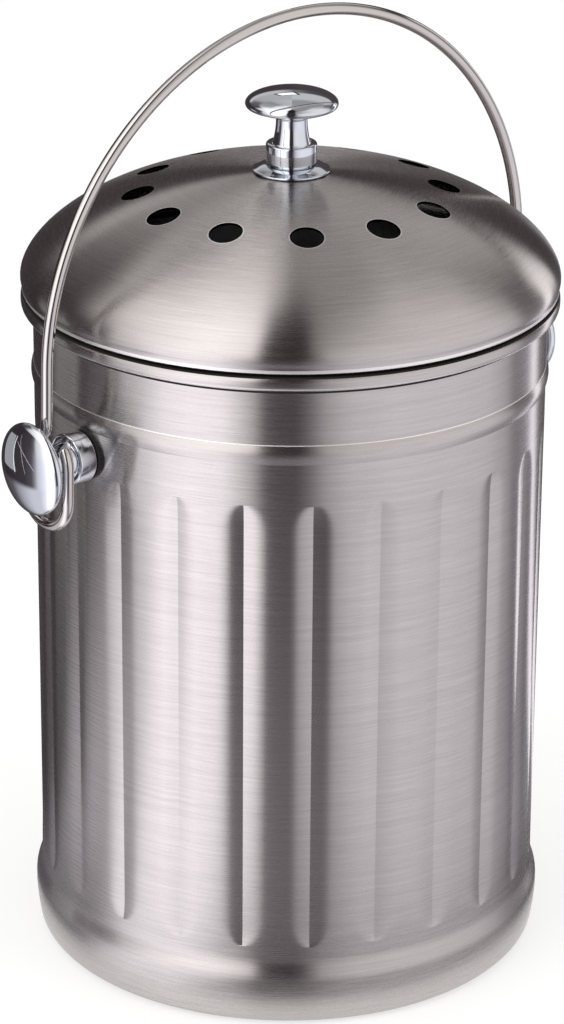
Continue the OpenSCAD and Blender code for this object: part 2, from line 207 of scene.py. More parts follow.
# Zinc-plated steel screws and washers: cool, slightly mottled, half matte.
def makeZincPlate(name):
    material, tree = newMaterial(name)
    place = addNode(tree, "ShaderNodeTexCoord")
    mottle = addNode(tree, "ShaderNodeTexVoronoi", {"Vector": (place, "Object"), "Scale": 900.0})
    rough = addNode(tree, "ShaderNodeMapRange",
                    {"Value": (mottle, "Distance"), "To Min": 0.28, "To Max": 0.45})
    shader = addNode(tree, "ShaderNodeBsdfPrincipled",
                     {"Base Color": hexToLinear("B9BEC4"), "Metallic": 1.0,
                      "Roughness": (rough, 0)})
    addNode(tree, "ShaderNodeOutputMaterial", {"Surface": (shader, 0)})
    return material


# Moulded black ABS or rubber: a fine spark-eroded grain and a dull sheen.
def makeMouldedBlack(name, hexColour, roughness, grainSize):
    material, tree = newMaterial(name)
    place = addNode(tree, "ShaderNodeTexCoord")
    grain = addNode(tree, "ShaderNodeTexNoise",
                    {"Vector": (place, "Object"), "Scale": 1 / (grainSize * mm), "Detail": 3.0})
    rough = addNode(tree, "ShaderNodeMapRange",
                    {"Value": (grain, 0), "To Min": roughness - 0.08, "To Max": roughness + 0.1})
    bump = addNode(tree, "ShaderNodeBump",
                   {"Height": (grain, 0), "Strength": 0.25, "Distance": 0.05 * mm})
    shader = addNode(tree, "ShaderNodeBsdfPrincipled",
                     {"Base Color": hexToLinear(hexColour), "IOR": 1.5,
                      "Roughness": (rough, 0), "Normal": (bump, 0)})
    addNode(tree, "ShaderNodeOutputMaterial", {"Surface": (shader, 0)})
    return material


# Charcoal-loaded needle felt: matted black fibres with grey flecks.
def makeCharcoalFelt(name):
    material, tree = newMaterial(name)
    place = addNode(tree, "ShaderNodeTexCoord")
    fibre = addNode(tree, "ShaderNodeTexNoise",
                    {"Vector": (place, "Object"), "Scale": 1400.0, "Detail": 5.0,
                     "Distortion": 1.5})
    fleck = addNode(tree, "ShaderNodeValToRGB", {0: (fibre, 0)})
    rampStops(fleck, [(0.35, 0.008), (0.62, 0.02), (0.75, 0.07)])
    bump = addNode(tree, "ShaderNodeBump",
                   {"Height": (fibre, 0), "Strength": 0.8, "Distance": 0.3 * mm})
    shader = addNode(tree, "ShaderNodeBsdfPrincipled",
                     {"Base Color": (fleck, 0), "Roughness": 0.95, "Sheen Weight": 0.25,
                      "Normal": (bump, 0)})
    addNode(tree, "ShaderNodeOutputMaterial", {"Surface": (shader, 0)})
    return material


wallSteel = makeBrushedSteel("brushedSteelWall", False)
paintedHighlightEdge = makePaintedHighlightEdge("paintedHighlightEdge")
paintedSeamShade = makePaintedSeamShade("paintedSeamShade")
chromePlate = makeChromePlate("chromePlate")
polishedWire = makePolishedWire("polishedWire")
zincPlate = makeZincPlate("zincPlate")
blackRubber = makeMouldedBlack("blackRubber", "141414", 0.62, 0.5)
blackAbs = makeMouldedBlack("blackAbs", "1B1B1D", 0.48, 0.35)
charcoalFelt = makeCharcoalFelt("charcoalFelt")
print("materials made")


def arcPoints(centreR, centreZ, radius, fromDeg, toDeg, steps):
    return [(centreR + radius * math.cos(math.radians(fromDeg + (toDeg - fromDeg) * i / steps)),
             centreZ + radius * math.sin(math.radians(fromDeg + (toDeg - fromDeg) * i / steps)))
            for i in range(steps + 1)]


# The other face of a sheet: the path moved to its left by the sheet's thickness.
def offsetPath(path, thickness):
    moved = []
    for i, (r, z) in enumerate(path):
        ahead = path[min(i + 1, len(path) - 1)]
        behind = path[max(i - 1, 0)]
        dr, dz = ahead[0] - behind[0], ahead[1] - behind[1]
        length = math.hypot(dr, dz)
        moved.append((max(0.0, r - dz / length * thickness), z + dr / length * thickness))
    if path[0][0] == 0:
        moved[0] = (0.0, path[0][1] + thickness)
    if path[-1][0] == 0:
        moved[-1] = (0.0, path[-1][1] - thickness)
    return moved


# Turns a closed profile of (radius, height) points in millimetres about the Z axis.
def spinProfile(profile, steps, startDeg=0.0):
    bm = bmesh.new()
    start = Matrix.Rotation(math.radians(startDeg), 3, "Z")
    corners = [bm.verts.new(start @ Vector((r * mm, 0, z * mm))) for r, z in profile]
    edges = [bm.edges.new((corners[i - 1], corners[i])) for i in range(len(profile))
             if profile[i - 1][0] > 0 or profile[i][0] > 0]
    bmesh.ops.spin(bm, geom=corners + edges, cent=(0, 0, 0), axis=(0, 0, 1),
                   angle=math.tau, steps=steps, use_merge=True)
    bmesh.ops.remove_doubles(bm, verts=bm.verts, dist=0.002 * mm)
    bmesh.ops.recalc_face_normals(bm, faces=bm.faces)
    return bm


# Makes an object from a bmesh, which it frees.
def addObject(name, bm, material):
    mesh = bpy.data.meshes.new(name)
    bm.to_mesh(mesh)
    bm.free()
    mesh.materials.append(material)
    piece = bpy.data.objects.new(name, mesh)
    bpy.context.scene.collection.objects.link(piece)
    return piece


# Makes a piece of the object, smooth but for edges sharper than sharpDeg.
def finishPiece(bm, name, body, material, replaced, sharpDeg=32):
    piece = addObject(name, bm, material)
    piece.data.shade_smooth()
    piece.data.set_sharp_from_angle(angle=math.radians(sharpDeg))
    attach(piece, body)
    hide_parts(*replaced)
    return piece


# The faces of a turned piece between two heights and outside a radius take another material: the
# painted shade and painted highlight bands.
def paintLightBand(piece, material, low, high, reach):
    if material.name not in piece.data.materials:
        piece.data.materials.append(material)
    index = piece.data.materials.find(material.name)
    for face in piece.data.polygons:
        spot = face.center
        if low * mm < spot.z < high * mm and math.hypot(spot.x, spot.y) > reach * mm:
            face.material_index = index


# The pail: drawn from one sheet, with a foot band, 24 pressed flutes, a neck bead and a curled rim.
pail = {
    "wallR": 86.0,
    "height": 232.4,
    "sheet": 0.7,
    "footOut": 2.15,
    "footTop": 25.0,
    "corner": 5.0,
    "floorR": 73.95,
    "floorRise": 2.0,
    "beadLow": 201.6,
    "beadHigh": 208.4,
    "beadOut": 0.9,
    "beadLip": (0.12, 0.32),    # mm out and down: the lip on the bead's upper edge, which carries a painted highlight line
    "roll": 4.7,
    "rollSquare": 0.55,
    "rollRows": (6, 4.2, 3.5),  # mm below the roll's middle: rows of the wall in its shadow
    "fluteCount": 24,
    "fluteWidth": 11.0,
    "fluteDepth": 0.9,
    "fluteLow": 29.0,
    "fluteHigh": 187.5,
    "fluteFade": 9.0,
    "fluteSoft": 0.3,        # mm, how far the shoulders round off
    "fluteTurn": 10.7,
    "stepsPerFlute": 18,
}


def pailProfile():
    p = pail
    footR = p["wallR"] + p["footOut"]
    bandLow = p["corner"] + 11.5
    path = [(r, p["floorRise"]) for r in (0, p["floorR"] * 0.5, p["floorR"] - 2)]
    path += arcPoints(p["floorR"], p["floorRise"] - 1, 1, 90, 0, 4)
    path += [(p["floorR"] + 1.4, 0.3), (p["floorR"] + 2.2, 0), (footR - p["corner"] - 2.6, 0)]
    path += arcPoints(footR - p["corner"] - 1, p["corner"], p["corner"], -90, -12, 9)
    path += [(footR - 0.35, p["corner"] + 4), (footR, p["corner"] + 8.5), (footR, bandLow)]
    for i in range(1, 9):
        path.append((p["wallR"] + p["footOut"] * (1 + math.cos(math.pi * i / 8)) / 2,
                     bandLow + (p["footTop"] - bandLow) * i / 8))
    for z in fluteRows():
        path.append((p["wallR"], z))
    path.append((p["wallR"], p["beadLow"]))
    for i in range(1, 10):
        path.append((p["wallR"] + p["beadOut"] * math.sin(math.pi * i / 10),
                     p["beadLow"] + (p["beadHigh"] - p["beadLow"]) * i / 10))
    rollR = (p["roll"] - p["sheet"]) / 2
    rollZ = p["height"] - p["roll"] / 2
    lipOut, lipDown = p["beadLip"]
    path += [(p["wallR"] + lipOut, p["beadHigh"] - lipDown), (p["wallR"], p["beadHigh"])]
    path += [(p["wallR"], rollZ - down) for down in p["rollRows"]]
    curlR = rollR - p["sheet"] / 2
    for i in range(37):
        turn = math.radians(180 - 290 * i / 36)
        path.append((p["wallR"] - p["sheet"] / 2 + rollR + squared(math.cos(turn), curlR),
                     rollZ + squared(math.sin(turn), curlR)))
    return path


# One coordinate of a circle pushed out towards the corners of its square.
def squared(part, radius):
    return math.copysign(abs(part) ** pail["rollSquare"], part) * radius


# Heights of the wall's rows: close together where the flutes run out, wide between.
def fluteRows():
    p = pail
    ends = [p["fluteFade"] * (1 - math.cos(math.pi / 2 * i / 9)) for i in range(10)]
    low = [p["fluteLow"] + e for e in ends]
    high = [p["fluteHigh"] - e for e in reversed(ends)]
    gap = high[0] - low[-1]
    middle = [low[-1] + gap * i / 8 for i in range(1, 8)]
    return [p["fluteLow"] - 1] + low + middle + high + [p["fluteHigh"] + 1]


# How deep a flute is at a distance from its crease and at a height.
def fluteDepthAt(offset, z):
    p = pail
    into = min(z - p["fluteLow"], p["fluteHigh"] - z)
    if into <= 0:
        return 0.0
    run = min(into / p["fluteFade"], 1)
    full = p["fluteDepth"] * math.sqrt(max(0, 1 - (1 - run) ** 2))
    bare = full - abs(offset) * p["fluteDepth"] / (p["fluteWidth"] / 2)
    return (bare + math.hypot(bare, p["fluteSoft"] * run)) / 2


# Presses the flutes into the wall and leaves the floor alone.
def pressFlutes(bm):
    pitch = math.tau / pail["fluteCount"]
    turn = math.radians(pail["fluteTurn"])
    for vert in bm.verts:
        reach = math.hypot(vert.co.x, vert.co.y)
        if reach < (pail["wallR"] - 2) * mm:
            continue
        around = (math.atan2(vert.co.y, vert.co.x) - turn) / pitch
        offset = (around - round(around)) * pitch * pail["wallR"]
        scale = 1 - fluteDepthAt(offset, vert.co.z / mm) * mm / reach
        vert.co.x *= scale
        vert.co.y *= scale


# Where the pail takes painted shade and painted highlight bands: between two heights and outside a
# radius, in mm.
pailBands = [
    (paintedSeamShade, 231.75, 233, 86.3),         # against the lid's hem
    (paintedSeamShade, 225.85, 227, 85.8),         # under the roll
    (paintedHighlightEdge, 227.4, 228.75, 87),     # the roll's lower edge
    (paintedHighlightEdge, 208.09, 208.4, 85.8),   # the bead's upper edge
]


def makePail():
    outer = pailProfile()
    inner = offsetPath(outer, pail["sheet"])
    bm = spinProfile(outer + inner[::-1], pail["fluteCount"] * pail["stepsPerFlute"],
                     pail["fluteTurn"])
    pressFlutes(bm)
    piece = finishPiece(bm, "flutedPail", "pail", wallSteel, ["pail_body"], 13)
    for band in pailBands:
        paintLightBand(piece, *band)


makePail()
print("pail made")


# The lid: a domed sheet with a hem turned in under its edge and a ring of punched air vents.
lid = {
    "radius": 90.0,
    "underside": 233.0,
    "widest": 237.95,
    "domeHeight": 34.8,
    "crownFullness": 2.1,
    "shoulderFullness": 1.65,
    "hemIn": 85.1,
    "hemStep": 0.4,
    "hemCorner": 1.2,
    "sheet": 0.7,
    "ventCount": 12,
    "ventRadius": 5.5,
    "ventRing": 50.85,
    "ventTurn": 26.2,
    "ventHighlightWidth": 0.55,       # mm, the painted highlight ring round a vent
    "ventHighlightShare": 0.9,        # its share of white in the painted highlight
    "punchHeight": 270.0,   # mm, the middle of the cutters
    "hemRows": (3.2, 2.2),  # mm below the widest: the hem's upright rows
    "screwHole": 2.2,
}


def domeHeightAt(r):
    fullness = max(0.0, 1 - (r / lid["radius"]) ** lid["crownFullness"])
    return lid["widest"] + lid["domeHeight"] * fullness ** (1 / lid["shoulderFullness"])


def lidProfile():
    edgeR = lid["radius"] - lid["hemStep"]
    path = [(lid["hemIn"], lid["underside"])]
    path += arcPoints(edgeR - lid["hemCorner"], lid["underside"] + lid["hemCorner"],
                      lid["hemCorner"], -90, 0, 6)
    path += [(edgeR, lid["widest"] - down) for down in lid["hemRows"]]
    path += [(lid["radius"] - 0.1, lid["widest"] - 1.6), (lid["radius"], lid["widest"] - 1)]
    for i in range(0, 57):
        r = lid["radius"] * math.cos(math.pi / 2 * i / 56)
        path.append((max(r, 0.0) if i < 56 else 0.0, domeHeightAt(r)))
    return path


# Painted highlight and painted shade at the vents: a narrow ring round each vent is pushed towards
# white as a bright line, and its cut edge inside is painted black. The vents' ring is folded into
# one sector, so one distance does for all of them.
def paintVentHighlightAndShade(material):
    tree = material.node_tree
    pitch = math.tau / lid["ventCount"]
    place = addNode(tree, "ShaderNodeTexCoord")
    axes = addNode(tree, "ShaderNodeSeparateXYZ", {0: (place, "Object")})
    angle = addNode(tree, "ShaderNodeMath", {0: (axes, 1), 1: (axes, 0)}, operation="ARCTAN2")
    turned = addNode(tree, "ShaderNodeMath", {0: (angle, 0), 1: math.radians(lid["ventTurn"])},
                     operation="SUBTRACT")
    folded = addNode(tree, "ShaderNodeMath", {0: (turned, 0), 1: -pitch / 2, 2: pitch / 2},
                     operation="WRAP")
    flat = addNode(tree, "ShaderNodeCombineXYZ", {0: (axes, 0), 1: (axes, 1)})
    reach = addNode(tree, "ShaderNodeVectorMath", {0: (flat, 0)}, operation="LENGTH")
    out = addNode(tree, "ShaderNodeCombineXYZ", {0: (reach, "Value")})
    spot = addNode(tree, "ShaderNodeVectorRotate", {"Vector": (out, 0), "Angle": (folded, 0)},
                   rotation_type="Z_AXIS")
    gap = addNode(tree, "ShaderNodeVectorMath", {0: (spot, 0), 1: (lid["ventRing"] * mm, 0, 0)},
                  operation="DISTANCE")
    # Painted highlight: a ring just outside each vent's edge is mixed towards white.
    ventHighlight = addNode(tree, "ShaderNodeMapRange",
                  {"Value": (gap, "Value"), "From Min": (lid["ventRadius"] + 0.15) * mm,
                   "From Max": (lid["ventRadius"] + lid["ventHighlightWidth"]) * mm,
                   "To Min": lid["ventHighlightShare"], "To Max": 0.0})
    # Painted shade: inside the vent's edge the colour is scaled to black.
    sheet = addNode(tree, "ShaderNodeMath", {0: (gap, "Value"), 1: (lid["ventRadius"] + 0.04) * mm},
                    operation="GREATER_THAN")
    shader = next(n for n in tree.nodes if n.bl_idname == "ShaderNodeBsdfPrincipled")
    brushed = shader.inputs["Base Color"].links[0].from_socket
    highlightMix = addNode(tree, "ShaderNodeMix", {0: (ventHighlight, 0), 7: (1.0, 1.0, 1.0, 1.0)},
                     data_type="RGBA")
    tree.links.new(brushed, highlightMix.inputs[6])
    ventPaintedColour = addNode(tree, "ShaderNodeVectorMath", {0: (highlightMix, 2), "Scale": (sheet, 0)},
                  operation="SCALE")
    tree.links.new(ventPaintedColour.outputs[0], shader.inputs["Base Color"])


domeSteel = makeBrushedSteel("brushedSteelDome", True)
paintVentHighlightAndShade(domeSteel)


# An upright round cutter through the dome.
def addPunch(cutters, spot, radius, segments, depth):
    middle = spot + Vector((0, 0, lid["punchHeight"] * mm))
    bmesh.ops.create_cone(cutters, cap_ends=True, segments=segments, radius1=radius * mm,
                          radius2=radius * mm, depth=depth * mm,
                          matrix=Matrix.Translation(middle))


# Where the lid takes painted shade and painted highlight bands, likewise.
lidBands = [
    (paintedSeamShade, 232.9, 233.7, 87),          # the hem's underside
    (paintedHighlightEdge, 233.7, 234.7, 88.5),    # the hem's corner
]


def makeLid():
    outer = lidProfile()
    inner = offsetPath(outer, lid["sheet"])
    bm = spinProfile(outer + inner[::-1], 360)
    piece = finishPiece(bm, "ventedLid", "lid", domeSteel, ["lid_shell"])
    cutters = bmesh.new()
    for i in range(lid["ventCount"]):
        turn = math.radians(lid["ventTurn"] + 360 / lid["ventCount"] * i)
        spot = Vector((math.cos(turn), math.sin(turn), 0)) * lid["ventRing"] * mm
        addPunch(cutters, spot, lid["ventRadius"], 48, 60)
    addPunch(cutters, Vector((0, 0, 0)), lid["screwHole"], 24, 30)
    cutterMesh = bpy.data.meshes.new("ventCutters")
    cutters.to_mesh(cutterMesh)
    cutters.free()
    cutter = bpy.data.objects.new("ventCutters", cutterMesh)
    bpy.context.scene.collection.objects.link(cutter)
    punch = piece.modifiers.new("punch", "BOOLEAN")
    punch.operation = "DIFFERENCE"
    punch.solver = "MANIFOLD"
    punch.object = cutter
    bpy.context.view_layer.update()
    evaluated = piece.evaluated_get(bpy.context.evaluated_depsgraph_get())
    punched = bpy.data.meshes.new_from_object(evaluated)
    piece.modifiers.clear()
    piece.data = punched
    for band in lidBands:
        paintLightBand(piece, *band)
    punched.shade_smooth()
    punched.set_sharp_from_angle(angle=math.radians(32))
    bpy.data.objects.remove(cutter)


makeLid()
print("lid made")


# A turned mushroom knob; the same one stands on the lid and holds each eye of the bail.
knob = {
    "height": 25.3,
    "headR": 15.4,
    "crown": 4.8,
    "rimRound": 1.5,
    "headDeep": 9.0,
    "collarR": 8.5,
    "collarTop": 7.2,
    "collarRound": 0.8,
    "waistR": 5.2,
    "flare": 1.1,
    "threadR": 2.05,
    "threadDepth": 9.0,
    "steps": 128,
}


def knobProfile():
    k = knob
    rimZ = k["height"] - k["crown"]
    neckZ = k["height"] - k["headDeep"] - 1
    path = [(0.0, k["threadDepth"]), (k["threadR"], k["threadDepth"]), (k["threadR"], 0),
            (k["collarR"] - 1.6, 0), (k["collarR"] - 1.6, 0.7)]
    path += arcPoints(k["collarR"] - 0.4, 1.1, 0.4, -90, 0, 6)
    path += arcPoints(k["collarR"] - k["collarRound"], k["collarTop"] - k["collarRound"],
                      k["collarRound"], 0, 85, 9)
    path += [(k["waistR"] + k["flare"] + 0.5, k["collarTop"]),
             (k["waistR"] + k["flare"] + 0.2, k["collarTop"] - 0.25)]
    for i in range(17):
        path.append((k["waistR"] + k["flare"] * (1 - i / 16) ** 2,
                     k["collarTop"] + (neckZ - k["collarTop"]) * i / 16))
    path += arcPoints(k["waistR"] + 1.4, neckZ, 1.4, 174, 112, 6)
    neckEnd = path[-1]
    rimLow = arcPoints(k["headR"] - k["rimRound"], rimZ, k["rimRound"], -65, 0, 10)
    for i in range(1, 12):
        path.append((neckEnd[0] + (rimLow[0][0] - neckEnd[0]) * i / 12,
                     neckEnd[1] + (rimLow[0][1] - neckEnd[1]) * (i / 12) ** 1.3))
    path += rimLow
    for i in range(1, 41):
        turn = math.pi / 2 * (1 - (1 - i / 40) ** 1.25)
        reach = k["headR"] * math.cos(turn) if i < 40 else 0.0
        path.append((reach, rimZ + k["crown"] * math.sin(turn)))
    return path


def makeKnob(name, body, node, place):
    bm = spinProfile(knobProfile(), knob["steps"])
    bmesh.ops.transform(bm, matrix=place, verts=bm.verts)
    finishPiece(bm, name, body, chromePlate, [node], 28)


pivot = {"height": 192.8, "seatX": 86.8}    # the bail's axis and the side knobs' seats on it
knobSeat = 275.05                           # the lid knob's underside


def sidePlace(side):
    turn = Matrix.Rotation(math.radians(90 * side), 4, "Y")
    return Matrix.Translation((side * pivot["seatX"] * mm, 0, pivot["height"] * mm)) @ turn


makeKnob("lidKnob", "lid", "lid_knob", Matrix.Translation((0, 0, knobSeat * mm)))
makeKnob("sideKnobLeft", "pail", "side_knob_left", sidePlace(-1))
makeKnob("sideKnobRight", "pail", "side_knob_right", sidePlace(1))
print("knobs made")


# A thin dished washer, spun from sheet, between the lid's crown and its knob.
rosette = {"seat": 272.75, "radius": 13.0, "height": 2.3, "hole": 2.2, "edge": 0.35, "topR": 8.5}


def makeRosette():
    r = rosette
    path = [(r["hole"], 0), (r["radius"] - 0.3, 0)]
    path += arcPoints(r["radius"] - 0.35, r["edge"], r["edge"], -90, 90, 8)
    for i in range(1, 15):
        turn = math.pi / 2 * i / 14
        path.append((r["radius"] - 0.4 - (r["radius"] - r["topR"]) * i / 14,
                     0.7 + (r["height"] - 0.7) * math.sin(turn)))
    path.append((r["hole"], r["height"]))
    bm = spinProfile([(a, z + r["seat"]) for a, z in path], 96)
    finishPiece(bm, "dishedRosette", "lid", chromePlate, ["lid_rosette"], 30)


makeRosette()


# The bail: one length of polished wire, bent over the lid, with an open eye at each end.
bail = {
    "wireR": 2.0,
    "sides": 24,
    "reach": 101.4,
    "leg": 32.65,
    "lean": 1.8,            # degrees off upright, towards -Y
    "eyeR": 11.5,
    "eyeDrop": 9.0,
    "eyeBend": 10.0,
    "slant": 45.0,
    "tail": 11.0,
    "tailTurn": 40.0,
    "waistClear": 8.0,
    "endBevel": 0.35,
}


# The bends and straights of one eye, from the wire's free end up to the arch.
def eyeMoves():
    b = bail
    c, s = math.cos(math.radians(b["slant"])), math.sin(math.radians(b["slant"]))
    slantRun = (b["eyeR"] - 2 * b["eyeBend"] * (1 - c)) / s
    slantDrop = 2 * b["eyeBend"] * s + slantRun * c
    jogZ = (b["waistClear"] - b["eyeBend"] * (1 - c) * c) / s + b["eyeBend"] * s
    return [("bend", b["eyeBend"], b["tailTurn"], 8), ("run", b["tail"]),
            ("bend", b["eyeR"], 180, 32), ("run", jogZ - slantDrop + b["eyeDrop"]),
            ("bend", b["eyeBend"], b["slant"], 8), ("run", slantRun),
            ("bend", b["eyeBend"], -b["slant"], 8), ("run", b["leg"] - jogZ)]


# The edges and corners of what an operator made: a ring that the next one carries on.
def openRing(made):
    return [g for g in made if not isinstance(g, bmesh.types.BMFace)]


# Carries the ring of wire along the moves, in the plane across the pivot axis.
def bendWire(bm, ring, at, heading, moves):
    for move in moves:
        ahead = Vector((0, math.cos(heading), math.sin(heading)))
        if move[0] == "run":
            step = ahead * move[1] * mm
            edges = [g for g in ring if isinstance(g, bmesh.types.BMEdge)]
            made = bmesh.ops.extrude_edge_only(bm, edges=edges)["geom"]
            corners = [g for g in made if isinstance(g, bmesh.types.BMVert)]
            bmesh.ops.translate(bm, vec=step, verts=corners)
            at = at + step
        else:
            radius, degrees, steps = move[1] * mm, move[2], move[3]
            side = 1 if degrees > 0 else -1
            centre = at + Vector((0, -math.sin(heading), math.cos(heading))) * radius * side
            made = bmesh.ops.spin(bm, geom=ring, cent=centre, axis=(1, 0, 0),
                                  angle=math.radians(degrees), steps=steps)["geom_last"]
            at = centre + Matrix.Rotation(math.radians(degrees), 3, "X") @ (at - centre)
            heading += math.radians(degrees)
        ring = openRing(made)
    return ring


def makeBail():
    b = bail
    moves = eyeMoves()
    pivotZ = pivot["height"]
    tailAngle = math.radians(180 - b["tailTurn"])
    start = Vector((-b["reach"], b["eyeBend"] - b["eyeR"] + b["eyeBend"] * math.cos(tailAngle),
                    pivotZ + b["tail"] - b["eyeDrop"] + b["eyeBend"] * math.sin(tailAngle))) * mm
    heading = tailAngle + math.pi / 2
    ahead = Vector((0, math.cos(heading), math.sin(heading)))
    bm = bmesh.new()
    place = Matrix.Translation(start) @ ahead.to_track_quat("Z", "X").to_matrix().to_4x4()
    made = bmesh.ops.create_circle(bm, segments=b["sides"], radius=b["wireR"] * mm, matrix=place)
    ring = made["verts"] + list({e for v in made["verts"] for e in v.link_edges})
    ring = bendWire(bm, ring, start, heading, moves)
    archCentre = (0, 0, (pivotZ + b["leg"]) * mm)
    made = bmesh.ops.spin(bm, geom=ring, cent=archCentre, axis=(0, 1, 0), angle=math.pi, steps=120)
    ring = openRing(made["geom_last"])
    archEnd = Vector((b["reach"] * mm, 0, (pivotZ + b["leg"]) * mm))
    back = [("run", m[1]) if m[0] == "run" else ("bend", m[1], -m[2], m[3])
            for m in reversed(moves)]
    bendWire(bm, ring, archEnd, math.radians(270), back)
    bmesh.ops.remove_doubles(bm, verts=bm.verts, dist=0.001 * mm)
    rims = [e for e in bm.edges if e.is_boundary]
    caps = bmesh.ops.holes_fill(bm, edges=rims, sides=b["sides"] + 1)["faces"]
    capEdges = list({e for f in caps for e in f.edges})
    bmesh.ops.bevel(bm, geom=capEdges, offset=b["endBevel"] * mm, offset_type="OFFSET", segments=3,
                    profile=0.5, affect="EDGES", material=-1)
    bmesh.ops.rotate(bm, cent=(0, 0, pivotZ * mm), verts=bm.verts,
                     matrix=Matrix.Rotation(math.radians(b["lean"]), 3, "X"))
    bmesh.ops.recalc_face_normals(bm, faces=bm.faces)
    finishPiece(bm, "wireBail", "bail", polishedWire, ["bail_handle"], 40)


makeBail()
print("bail made")


# The charcoal pad: a round of needle felt with soft edges, a little crowned.
pad = {"low": 226.75, "thick": 9.0, "radius": 81.5, "edge": 3.0, "crown": 0.8}


def makePad():
    p = pad
    top = p["low"] + p["thick"]
    path = [(0.0, p["low"]), (p["radius"] - p["edge"], p["low"])]
    path += arcPoints(p["radius"] - p["edge"], p["low"] + p["edge"], p["edge"], -75, 0, 6)
    path += arcPoints(p["radius"] - p["edge"], top - p["edge"] - p["crown"], p["edge"], 0, 85, 7)
    for i in range(1, 13):
        r = (p["radius"] - p["edge"]) * (1 - i / 12)
        path.append((r, top - p["crown"] * (r / p["radius"]) ** 2))
    bm = spinProfile(path, 120)
    piece = finishPiece(bm, "charcoalPad", "lid", charcoalFelt, ["filter_pad"], 60)


makePad()
print("filter pad made")

# The pieces whose shape is right already take their materials.
plainFinishes = {
    "spacer_left": blackRubber, "spacer_right": blackRubber,
    "side_screw_left": zincPlate, "side_screw_right": zincPlate,
    "inner_washer_left": zincPlate, "inner_washer_right": zincPlate,
    "lid_screw": zincPlate, "lid_screw_washer": zincPlate,
    "filter_cassette": blackAbs, "filter_grille": blackAbs,
}
for nodeName, finish in plainFinishes.items():
    piece = nodes[nodeName]
    if not piece.material_slots:
        piece.data.materials.append(finish)
    for slot in piece.material_slots:
        slot.material = finish
print("carried pieces finished")


# The studio: a pale floor, a pale surround, soft lamps, and a tent round the pail that only
# polished surfaces see: a bright box to the left of the camera, a dark gap behind the camera
# itself, a paler sheet to the right and a dim room behind.
studio = {
    "floor": "F4F3F2",
    "floorGlow": 0.6,
    "surround": "FFFFFF",
    "fillStrength": 0.9,
    "cameraAzimuth": -39.6,
    "cameraYaw": -0.108,
    "cameraPitch": 22.18,
    "cameraRoll": 0.395,
    "cameraReach": 1.232485,
    "cameraHeight": 0.6532,
    "focalPixels": 3895.67,
    "framePixels": 1024,
    "sensor": 36.0,
    "aimHeight": 0.16,      # m, where the lamps aim
    "cardHeight": 0.3,      # m, the height that the cards' elevations are measured from
}

